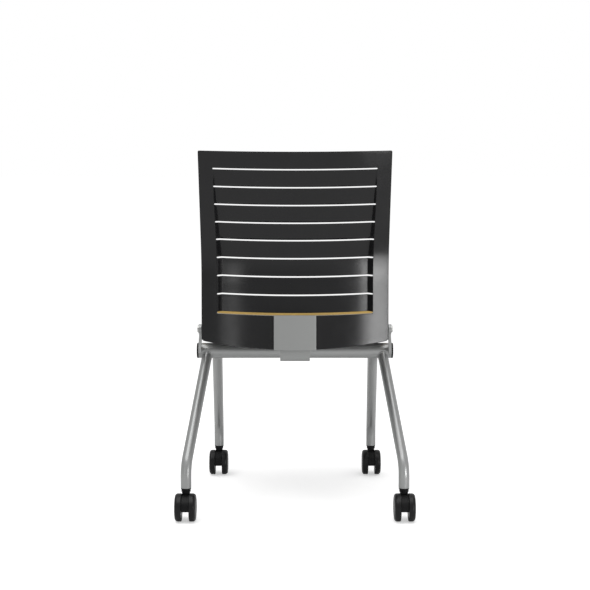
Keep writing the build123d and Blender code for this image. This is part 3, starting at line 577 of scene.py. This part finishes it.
def windowHalf(z):
    # The stiles grow slimmer towards the top.
    return back["halfWidth"] - back["stileWidth"] + (back["stileWidth"] - back["stileTopWidth"]) * riseShare(z)


def slatRecess(z):
    return back["slatRecess"] + (back["slatStep"] - back["slatRecess"]) * riseShare(z)


def slatEnd(z):
    return windowHalf(z) - max(back["slatSideLeast"], back["slatSideWidth"] * slatRecess(z) / back["slatRecess"])


def slotHeights():
    # Centres of the slots, spaced evenly along the face and then shifted a little.
    steps = 1200
    step = (back["topZ"] - back["topRailHeight"] - back["lowSlotZ"]) / steps
    levels, lengths = [back["lowSlotZ"]], [0]
    for _ in range(steps):
        z = levels[-1]
        levels.append(z + step)
        lengths.append(lengths[-1] + hypot(step, backProfile(z + step) - backProfile(z)))
    wanted = [lengths[-1] * n / (back["slotCount"] - 1) for n in range(back["slotCount"])]
    nearest = [min(range(steps + 1), key=lambda k: abs(lengths[k] - length)) for length in wanted]
    return [levels[k] + shift for k, shift in zip(nearest, back["slotShifts"])]


def cornerDrop(x, radius):
    past = abs(x) - (back["halfWidth"] - radius)
    return radius - sqrt(max(0, radius**2 - past**2)) if past > 0 else 0


def outlineBottom(x):
    rise = back["bottomDip"] * (x / back["halfWidth"]) ** 2
    return back["cornerZ"] - back["bottomDip"] + rise + cornerDrop(x, back["bottomCorner"])


def outlineTop(x):
    return back["topZ"] - back["topDip"] * (1 - (x / back["halfWidth"]) ** 2) - cornerDrop(x, back["topCorner"])


def backFaceY(x, z, level, band, side):
    # Side 0 is the rear face, side 1 the front face.
    y = backProfile(z) - backBow(x)
    opening = windowHalf(level)
    if band == "slat" and abs(x) < opening:
        recess = slatRecess(z)
        share = min(1, (opening - abs(x)) / (opening - slatEnd(level)))
        share = share * share * (3 - 2 * share) * 0.35 + share * 0.65
        rear = recess * share
        front = back["depth"] + (recess + back["slatThickness"] - back["depth"]) * share
        return y - (front if side else rear)
    if band == "foot" and side == 0 and abs(x) < back["padHalfWidth"]:
        return backProfile(z)
    return y - (back["depth"] if side else 0)


def backColumns():
    # The places across the back, from its right rim to its left one: side, kind and value.
    half = back["halfWidth"]
    padEdge = [back["padHalfWidth"] - 1, back["padHalfWidth"] + back["padStep"]]
    columns = [("fixed", x) for x in back["padColumns"] + padEdge + back["flatColumns"]]
    columns += [("slat", 0), ("band", 0)]
    columns += [("window", step) for step in back["windowSteps"]]
    columns += [("stile", share) for share in back["stileShares"]]
    columns += [("fixed", half - step) for step in back["rimSteps"]]
    return [(-1, *c) for c in reversed(columns[1:])] + [(1, *c) for c in columns]


def columnX(column, level):
    side, kind, value = column
    opening = windowHalf(level)
    place = {
        "fixed": value,
        "slat": slatEnd(level),
        "band": (slatEnd(level) + opening + back["windowSteps"][0]) / 2,
        "window": opening + value,
        "stile": opening + (back["halfWidth"] - back["rimSteps"][0] - opening) * value,
    }[kind]
    return side * place


def backFaces():
    # The moulding as a grid of bands, from the foot over the slats to the top rail.
    heights = slotHeights()
    columns = backColumns()

    def slotLine(x, index, edge):
        height = back["slotHeight"] + (back["topSlotHeight"] - back["slotHeight"]) * riseShare(heights[index])
        if index == 0:
            height = back["lowSlotHeight"]
        opening = windowHalf(heights[index])
        reach = opening - height / 2
        middle = heights[index] + back["slotDip"] * (min(abs(x), reach) ** 2 / reach**2 - 0.5)
        past = abs(x) - reach
        gap = height / 2
        if past > 0:
            gap = sqrt(max(0, (height / 2) ** 2 - past**2)) if abs(x) < opening else 0
        return middle + edge * gap

    # Each band: its name, its rows, its lower and upper lines, and the levels of the two.
    lowest, highest = back["cornerZ"] - back["bottomDip"], back["topZ"]
    slatRows, lastSlot = back["slatRows"], back["slotCount"] - 1
    bands = [("foot", back["footRows"], outlineBottom, lambda x: slotLine(x, 0, -1), lowest, heights[0])]
    for n in range(lastSlot):
        lowLine = lambda x, n=n: slotLine(x, n, 1)
        highLine = lambda x, n=n: slotLine(x, n + 1, -1)
        bands.append(("slat", slatRows, lowLine, highLine, heights[n], heights[n + 1]))
    bands.append(("rail", slatRows, lambda x: slotLine(x, lastSlot, 1), outlineTop, heights[-1], highest))

    points, faces = [], []
    for band, rows, lowLine, highLine, lowLevel, highLevel in bands:
        grid = []
        for row in range(rows + 1):
            level = lowLevel + (highLevel - lowLevel) * row / rows
            line = []
            for column in columns:
                x = columnX(column, level)
                z = lowLine(x) + (highLine(x) - lowLine(x)) * row / rows
                pair = []
                for side in (0, 1):
                    points.append((x * mm, backFaceY(x, z, level, band, side) * mm, z * mm))
                    pair.append(len(points) - 1)
                line.append((x, pair))
            grid.append((level, line))
        for row in range(rows):
            for n in range(len(columns) - 1):
                a, b = grid[row][1][n][1], grid[row][1][n + 1][1]
                c, d = grid[row + 1][1][n + 1][1], grid[row + 1][1][n][1]
                faces.append((b[0], a[0], d[0], c[0]))
                faces.append((a[1], b[1], c[1], d[1]))
            for n, flip in ((0, True), (len(columns) - 1, False)):
                a, d = grid[row][1][n][1], grid[row + 1][1][n][1]
                wall = (a[0], a[1], d[1], d[0])
                faces.append(wall if flip else wall[::-1])
        for row, atEdge in ((0, band == "foot"), (rows, band == "rail")):
            level, line = grid[row]
            for n in range(len(columns) - 1):
                (xa, a), (xb, b) = line[n], line[n + 1]
                if atEdge or max(abs(xa), abs(xb)) <= windowHalf(level) + 0.001:
                    wall = (a[0], b[0], b[1], a[1])
                    faces.append(wall if row == 0 else wall[::-1])
    return points, faces


def markBackEdges(mesh):
    # Joins the bands, then picks the edges that are rounded and those that stay crisp.
    shape = bmesh.new()
    shape.from_mesh(mesh)
    bmesh.ops.remove_doubles(shape, verts=shape.verts, dist=0.00002)
    bmesh.ops.dissolve_degenerate(shape, dist=0.00002, edges=shape.edges)
    bmesh.ops.recalc_face_normals(shape, faces=shape.faces)
    weights = shape.edges.layers.float.new("bevel_weight_edge")
    for edge in shape.edges:
        turn = edge.calc_face_angle(0) if len(edge.link_faces) == 2 else 0
        middle = (edge.verts[0].co + edge.verts[1].co) / 2 / mm
        beside = abs(middle.x) > back["creaseX"]
        edge.smooth = not (beside and radians(back["creaseTurn"]) < turn < radians(back["edgeTurn"]))
        if turn > radians(back["edgeTurn"]):
            inWindow = abs(middle.x) < windowHalf(middle.z) + back["windowMargin"]
            margin = back["rimMargin"]
            inside = outlineBottom(middle.x) + margin < middle.z < outlineTop(middle.x) - margin
            edge[weights] = back["slotEdge"] / back["outerEdge"] if inWindow and inside else 1.0
    shape.to_mesh(mesh)
    shape.free()


def makeBack():
    mesh = meshFromLists("backrest_moulding", *backFaces())
    markBackEdges(mesh)
    smoothShade(mesh)
    piece = addPiece("backrest_moulding", mesh)
    rounding = piece.modifiers.new("rounding", "BEVEL")
    rounding.limit_method = "WEIGHT"
    rounding.width = back["outerEdge"] * mm
    rounding.segments = 3
    rounding.use_clamp_overlap = False
    flow = piece.modifiers.new("flow", "WEIGHTED_NORMAL")
    flow.keep_sharp = True
    bakeModifiers(piece)
    dress(piece, finishes["back_plastic"])
    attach(piece, "frame")
    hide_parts("backrest")


makeBack()
print("back moulded")


# The seat: foam under woven cloth, with a piped seam round its sides

seat = {  # millimetres
    "frontY": -283,
    "rearY": 167,
    "wideX": 237.75,
    "wideY": -120,
    "frontX": 235.25,
    "pivotX": 208.5,
    "pivotY": 114,
    "pivotZ": 436,
    "taper": 0.125,
    "frontBow": 11,
    "rearBow": 14,
    "frontCorner": 80,
    "sideCorner": 160,
    "rearCorner": 34,
    "noseRadius": 53.2,  # about the pivot, clear of the back as the seat tips
    "points": 480,  # round the seat
    "pullIn": 2.2,  # how far the sides draw in between the corners
    "pullMiddleY": -60,
    "pullReach": (200, 190, 17),  # along x, y and z from the middle of each side
    "pullZ": 432,
    "crown": 2.2,
    "frontDrop": 12,  # how far the front edge rolls down
    "frontDropFrom": -175,
    "foldZ": 418,  # from here the roll grows to full over the fold's height
    "foldHeight": 38,
    "noseFrom": 30,  # to the rear of the pivot
    "seamZ": 436.4,
    "pipingRadius": 1.7,
    "pipingInset": 1.2,
    "stitchPitch": 4.6,
    "stitchLength": 3.0,
    "stitchInset": 1.15,
    "stitchRise": 4.4,  # over the seam
    "stitchRadius": 0.35,
    "puckerDepth": 0.4,
    "puckerPitch": 15,
    "puckerZ": 427,
    "puckerReach": 9,
    # From the pocket under the seat, out, up the side and in over the top: inset, height
    "section": [
        (11.7, 420.6), (11.7, 416.7), (10.4, 416.0), (6.0, 415.9), (2.4, 416.6), (0.9, 418.8), (0.2, 422.5),
        (0.1, 427.0), (0.5, 431.5), (1.3, 434.6), (3.0, 436.4), (1.4, 438.2), (1.3, 441.0), (2.2, 444.6),
        (4.4, 448.2), (8.0, 451.4), (12.8, 453.7), (19.0, 455.2), (27.0, 456.2),
    ],
    "shrinks": [0.93, 0.83, 0.72, 0.6, 0.48, 0.36, 0.24, 0.12],
    # The black cloth under the seat: its edge round the pan, then its section from there outwards
    "panInset": 29.7,
    "panRearInset": 23.7,
    "panHeights": [411.9, 411.6],
    "coverSection": [
        (12.0, 411.5), (11.2, 412.0), (11.1, 415.0), (10.6, 415.2), (4.6, 415.2),
        (4.6, 415.7), (10.8, 415.7), (11.6, 415.5), (11.7, 412.0), (12.4, 411.9),
    ],
}


def roundedCorner(before, corner, after, radius, steps):
    # Points of the arc that rounds one corner of an outline.
    towards = [(before - corner).normalized(), (after - corner).normalized()]
    opening = towards[0].angle(towards[1])
    reach = radius / tan(opening / 2)
    start, end = corner + towards[0] * reach, corner + towards[1] * reach
    centre = corner + (towards[0] + towards[1]).normalized() * (radius / sin(opening / 2))
    arms = start - centre, end - centre
    turn = arms[0].angle(arms[1])
    points = []
    for n in range(steps + 1):
        share = n / steps
        points.append(centre + (arms[0] * sin((1 - share) * turn) + arms[1] * sin(share * turn)) / sin(turn))
    return points


def seatOutline(inset=0, rearInset=0):
    # The seat's plan as a closed ring of evenly spaced points, with the outward direction at each.
    frontLine, rearLine = seat["frontY"] + inset + seat["frontBow"], seat["rearY"] - rearInset - seat["rearBow"]
    frontX = seat["frontX"] - inset
    rearX = seat["pivotX"] - inset - seat["taper"] * (rearLine - seat["pivotY"])
    half = [
        (Vector((frontX, frontLine, 0)), seat["frontCorner"]),
        (Vector((seat["wideX"] - inset, seat["wideY"], 0)), seat["sideCorner"]),
        (Vector((rearX, rearLine, 0)), seat["rearCorner"]),
    ]
    corners = half + [(Vector((-c.x, c.y, 0)), radius) for c, radius in reversed(half)]
    ring = []
    for n, (corner, radius) in enumerate(corners):
        before, after = corners[n - 1][0], corners[(n + 1) % len(corners)][0]
        ring += roundedCorner(before, corner, after, radius, 24)
    bowed = []
    ring.append(ring[0])
    for first, second in zip(ring, ring[1:]):
        parts = max(1, ceil((second - first).length / 4))
        for n in range(parts):
            point = first.lerp(second, n / parts)
            nearFront = max(0, (seat["wideY"] - point.y) / (seat["wideY"] - frontLine)) ** 3
            nearRear = max(0, point.y / rearLine) ** 5
            point.y -= seat["frontBow"] * nearFront * (1 - (point.x / frontX) ** 2)
            point.y += seat["rearBow"] * nearRear * (1 - (point.x / rearX) ** 2)
            bowed.append(point)
    lengths = [0]
    for first, second in zip(bowed, bowed[1:] + bowed[:1]):
        lengths.append(lengths[-1] + (second - first).length)
    even, k = [], 0
    for n in range(seat["points"]):
        wanted = lengths[-1] * n / seat["points"]
        while lengths[k + 1] < wanted:
            k += 1
        share = (wanted - lengths[k]) / (lengths[k + 1] - lengths[k])
        even.append(bowed[k].lerp(bowed[(k + 1) % len(bowed)], share))
    count = len(even)
    outward = []
    for n in range(count):
        along = even[(n + 2) % count] - even[n - 2]
        outward.append(Vector((along.y, -along.x, 0)).normalized())
    return even, outward, lengths[-1]


def settle(point):
    # The front edge rolls down, and the rear stays inside the round about the pivot.
    past = max(0, seat["frontDropFrom"] - point.y) / (seat["frontDropFrom"] - seat["frontY"])
    share = min(1, max(0, (point.z - seat["foldZ"]) / seat["foldHeight"]))
    point.z -= seat["frontDrop"] * past**2 * share
    reach = hypot(point.y - seat["pivotY"], point.z - seat["pivotZ"])
    if point.y > seat["pivotY"] + seat["noseFrom"] and reach > seat["noseRadius"]:
        point.y = seat["pivotY"] + (point.y - seat["pivotY"]) * seat["noseRadius"] / reach
        point.z = seat["pivotZ"] + (point.z - seat["pivotZ"]) * seat["noseRadius"] / reach
    return point


def seatPoint(outline, outward, girth, n, inset, z):
    place, direction = outline[n], outward[n]
    reachX, reachY, reachZ = seat["pullReach"]
    # Between the corners the cloth pulls the foam in, and it puckers where it turns a corner.
    sideShare = abs(direction.x) ** 3 * max(0, 1 - ((place.y - seat["pullMiddleY"]) / reachY) ** 2)
    endShare = abs(direction.y) ** 3 * max(0, 1 - (place.x / reachX) ** 2)
    band = max(0, 1 - abs(z - seat["pullZ"]) / reachZ)
    pull = seat["pullIn"] * band * max(sideShare, endShare)
    cornerShare = (4 * direction.x**2 * direction.y**2) ** 1.5
    below = max(0, 1 - abs(z - seat["puckerZ"]) / seat["puckerReach"])
    wave = sin(2 * pi * girth * n / seat["points"] / seat["puckerPitch"])
    pucker = seat["puckerDepth"] * below * cornerShare * wave
    point = place - direction * (inset + pull + pucker)
    point.z = z
    return settle(point)


def seatRing(inset, z):
    # A ring round the seat at a height, drawn in from its plan.
    return [seatPoint(*seatPlan, n, inset, z) for n in range(seat["points"])]


def softPiece(name, points, faces, material):
    mesh = meshFromLists(name, [tuple(p) for p in points], faces)
    smoothShade(mesh)
    piece = addPiece(name, mesh)
    dress(piece, material)
    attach(piece, "seat")
    return piece


def makeCushion():
    outline, outward, _ = seatPlan
    count = seat["points"]
    rings = [seatRing(inset, z) for inset, z in seat["section"]]
    centre = Vector((0, (seat["frontY"] + seat["rearY"]) / 2, 0))
    lastInset, lastZ = seat["section"][-1]
    for shrink in seat["shrinks"]:
        ring = []
        for n in range(count):
            edge = outline[n] - outward[n] * lastInset
            point = centre + (edge - centre) * shrink
            point.z = lastZ + seat["crown"] * (1 - shrink**2)
            ring.append(settle(point))
        rings.append(ring)
    points = [point * mm for ring in rings for point in ring]
    faces = []
    for row in range(len(rings) - 1):
        for n in range(count):
            a, b = row * count + n, row * count + (n + 1) % count
            faces.append((a, b, b + count, a + count))
    top = Vector((centre.x, centre.y, lastZ + seat["crown"]))
    points += [top * mm, Vector((centre.x, centre.y, seat["section"][0][1])) * mm]
    last = (len(rings) - 1) * count
    for n in range(count):
        faces.append((last + n, last + (n + 1) % count, len(points) - 2))
        faces.append(((n + 1) % count, n, len(points) - 1))
    cushion = softPiece("seat_upholstery", points, faces, finishes["seat_fabric"])
    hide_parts("seat_cushion")


def makeDustCover():
    # The black cloth that closes the underside round the pan
    count = seat["points"]
    panEdge = seatOutline(seat["panInset"], seat["panRearInset"])[0]
    rings = [[Vector((point.x, point.y, z)) for point in panEdge] for z in seat["panHeights"]]
    rings += [seatRing(inset, z) for inset, z in seat["coverSection"]]
    points = [point * mm for ring in rings for point in ring]
    faces = []
    for row in range(len(rings)):
        above = (row + 1) % len(rings)
        for n in range(count):
            m = (n + 1) % count
            faces.append((above * count + n, above * count + m, row * count + m, row * count + n))
    softPiece("seat_dust_cover", points, faces, coverCloth)


def makePiping():
    # The piping along the seam
    seam = seatRing(seat["pipingInset"], seat["seamZ"])
    piping = addTube("seat_piping", seam, seatPlan[1], seat["pipingRadius"], 8, 0.04, 2)
    dress(piping, finishes["seat_fabric"])
    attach(piping, "seat")


def makeStitching():
    # A row of stitches above the piping, each a short square bar with its corners up and out
    _, outward, girth = seatPlan
    count = seat["points"]
    row = seatRing(seat["stitchInset"], seat["seamZ"] + seat["stitchRise"])
    points, faces = [], []
    stitches = int(girth / seat["stitchPitch"])
    for k in range(stitches):
        n = k * count / stitches
        low, share = int(n), n - int(n)
        near, far = row[low], row[(low + 1) % count]
        middle = near.lerp(far, share)
        along = (far - near).normalized() * seat["stitchLength"] / 2
        out = outward[low] * seat["stitchRadius"]
        up = Vector((0, 0, seat["stitchRadius"]))
        start = len(points)
        for end in (-1, 1):
            for corner in (out, up, -out, -up):
                points.append((middle + along * end + corner) * mm)
        for side in range(4):
            a, b = start + side, start + (side + 1) % 4
            faces.append((a, b, b + 4, a + 4))
        faces.append((start + 3, start + 2, start + 1, start))
        faces.append((start + 4, start + 5, start + 6, start + 7))
    stitching = addPiece("seat_stitching", meshFromLists("seat_stitching", [tuple(p) for p in points], faces))
    dress(stitching, seatThread)
    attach(stitching, "seat")


def addTube(name, path, outward, radius, sides, ripple, ripplePoints, closed=True):
    # A round bead along a path, with a slight ripple in its thickness.
    count = len(path)
    points, faces = [], []
    for n in range(count):
        ahead = path[(n + 1) % count] if closed or n < count - 1 else path[n]
        behind = path[n - 1] if closed or n > 0 else path[n]
        along = (ahead - behind).normalized()
        first = (outward[n] - along * outward[n].dot(along)).normalized()
        second = along.cross(first)
        size = radius * (1 + ripple * cos(2 * pi * n / ripplePoints))
        for k in range(sides):
            turn = 2 * pi * k / sides
            points.append(tuple((path[n] + first * size * cos(turn) + second * size * sin(turn)) * mm))
    for n in range(count if closed else count - 1):
        for k in range(sides):
            a, b = n * sides + k, n * sides + (k + 1) % sides
            c, d = ((n + 1) % count) * sides + (k + 1) % sides, ((n + 1) % count) * sides + k
            faces.append((a, b, c, d))
    if not closed:
        faces.append(tuple(range(sides))[::-1])
        faces.append(tuple((count - 1) * sides + k for k in range(sides)))
    mesh = meshFromLists(name, points, faces)
    smoothShade(mesh)
    return addPiece(name, mesh)


seatPlan = seatOutline()
makeCushion()
makeDustCover()
makePiping()
makeStitching()
print("cushion upholstered")


# Weld beads, where the legs and the spine meet the crossbar

welds = {  # millimetres
    "crossbarY": -41,
    "crossbarZ": 362,
    "crossbarRadius": 19,
    "legRadius": 12.5,
    "legs": {
        "rear_left": ((254.5, 207, 125.35), 217),
        "front_left": ((203.5, -259, 125.35), 194),
    },
    "beadRadius": 1.4,
    "beadSides": 10,
    "beadRipple": 0.12,
    "ripplePoints": 3,
    "legLift": 0.35,  # of the bead's middle off the steel
    "legPoints": 120,
    "spineLift": 0.6,
    "spineSteps": 64,
    "spineHalfWidth": 33,
    "spineFaces": (371.5, 379.5),
}


def legWeldPath(foot, topX):
    # Where the round leg meets the round crossbar: along each straight line on the leg's
    # side, the point that lies on the crossbar.
    foot, top = Vector(foot), Vector((topX, welds["crossbarY"], welds["crossbarZ"]))
    axis = (top - foot).normalized()
    first = axis.cross(Vector((1, 0, 0))).normalized()
    second = axis.cross(first)
    path, outward = [], []
    for n in range(welds["legPoints"]):
        turn = 2 * pi * n / welds["legPoints"]
        away = first * cos(turn) + second * sin(turn)
        start = foot + away * welds["legRadius"]
        y, z = start.y - welds["crossbarY"], start.z - welds["crossbarZ"]
        a = axis.y**2 + axis.z**2
        b = 2 * (y * axis.y + z * axis.z)
        c = y**2 + z**2 - welds["crossbarRadius"] ** 2
        step = (-b - sqrt(b**2 - 4 * a * c)) / (2 * a)
        point = start + axis * step
        fromBar = Vector((0, point.y - welds["crossbarY"], point.z - welds["crossbarZ"])).normalized()
        path.append(point + (away + fromBar) * welds["legLift"])
        outward.append((away + fromBar).normalized())
    return path, outward


def addBead(name, path, outward, slot, closed):
    bead = addTube(
        name, path, outward, welds["beadRadius"], welds["beadSides"], welds["beadRipple"], welds["ripplePoints"], closed
    )
    dress(bead, finishes[slot])
    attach(bead, "frame")


def makeWelds():
    for name, (foot, topX) in welds["legs"].items():
        path, outward = legWeldPath(foot, topX)
        for side, label in ((1, name), (-1, name.replace("left", "right"))):
            flip = Vector((side, 1, 1))
            mirrored = [point * flip for point in path], [way * flip for way in outward]
            addBead("weld_" + label, *mirrored, "frame_paint", closed=True)
    for label, z in zip(("under", "over"), welds["spineFaces"]):
        rise = z - welds["crossbarZ"]
        y = welds["crossbarY"] + sqrt(welds["crossbarRadius"] ** 2 - rise**2)
        steps, half = welds["spineSteps"], welds["spineHalfWidth"]
        path = [Vector((half * (2 * n / steps - 1), y + welds["spineLift"], z)) for n in range(steps + 1)]
        addBead("weld_spine_" + label, path, [Vector((0, 1, 0))] * len(path), "cover_paint", closed=False)


makeWelds()
print("welds laid")


# Studio: pale floor, soft light, camera behind the chair at the height of its top

studio = {
    "floorHalf": 60.0,
    "floorColour": (0.9, 0.9, 0.9, 1),
    "floorLift": 0.46,
    "ambient": 0.62,
    "cameraPlace": (0.0, 3.240, 0.8366),
    "cameraPitch": 5.837,
    "lens": 80.85,
}
softboxes = {  # metres, watts, and degrees of spread
    "overheadSoftbox": {
        "place": (0.3, 0.6, 2.6), "target": (0, 0, 0.4),
        "width": 2.4, "height": 2.4, "power": 40, "spread": 180,
    },
    "rightSoftbox": {
        "place": (-1.0, 1.19, 0.39), "target": (-0.2, 0.17, 0.55),
        "width": 0.36, "height": 0.76, "power": 1.4, "spread": 62,
    },
    "leftSoftbox": {
        "place": (0.775, 1.31, 0.36), "target": (0.15, 0.17, 0.5),
        "width": 0.2, "height": 0.5, "power": 0.09, "spread": 62,
    },
}


def makeStudio():
    floorMesh = bpy.data.meshes.new("floor")
    half = studio["floorHalf"]
    corners = [(-half, -half, 0), (half, -half, 0), (half, half, 0), (-half, half, 0)]
    floorMesh.from_pydata(corners, [], [(0, 1, 2, 3)])
    floor = addPiece("floor", floorMesh)
    material = bpy.data.materials.new("paleFloor")
    material.use_nodes = True
    tree = material.node_tree
    shader = tree.nodes["Principled BSDF"]
    shader.inputs["Roughness"].default_value = 0.9
    shader.inputs["Specular IOR Level"].default_value = 0.0
    shader.inputs["Base Color"].default_value = studio["floorColour"]
    rays = tree.nodes.new("ShaderNodeLightPath")
    seen = mathNode(tree, "MAXIMUM", rays.outputs["Is Camera Ray"], rays.outputs["Is Transmission Ray"])
    shader.inputs["Emission Color"].default_value = (1, 1, 1, 1)
    feed(tree, mathNode(tree, "MULTIPLY", seen, studio["floorLift"]), shader.inputs["Emission Strength"])
    dress(floor, material)

    world = bpy.data.worlds.new("studioWorld")
    scene.world = world
    world.use_nodes = True
    tree = world.node_tree
    background = tree.nodes["Background"]
    background.inputs["Color"].default_value = (1, 1, 1, 1)
    rays = tree.nodes.new("ShaderNodeLightPath")
    seen = mathNode(tree, "MAXIMUM", rays.outputs["Is Camera Ray"], rays.outputs["Is Transmission Ray"])
    feed(tree, rangeNode(tree, seen, 0, 1, studio["ambient"], 1.0), background.inputs["Strength"])


def addSoftbox(name, place, target, width, height, power, spread):
    lamp = bpy.data.lights.new(name, "AREA")
    lamp.shape = "RECTANGLE"
    lamp.size = width
    lamp.size_y = height
    lamp.energy = power
    lamp.spread = radians(spread)
    box = bpy.data.objects.new(name, lamp)
    scene.collection.objects.link(box)
    box.location = place
    box.rotation_euler = (Vector(target) - Vector(place)).to_track_quat("-Z", "Y").to_euler()


def makeCamera():
    lens = bpy.data.cameras.new("camera")
    lens.sensor_width = 36.0
    lens.lens = studio["lens"]
    camera = bpy.data.objects.new("camera", lens)
    scene.collection.objects.link(camera)
    camera.location = studio["cameraPlace"]
    camera.rotation_euler = (radians(90 - studio["cameraPitch"]), 0, pi)
    scene.camera = camera


makeStudio()
for name, softbox in softboxes.items():
    addSoftbox(name, **softbox)
makeCamera()
scene.view_settings.view_transform = "Standard"
print("studio set")
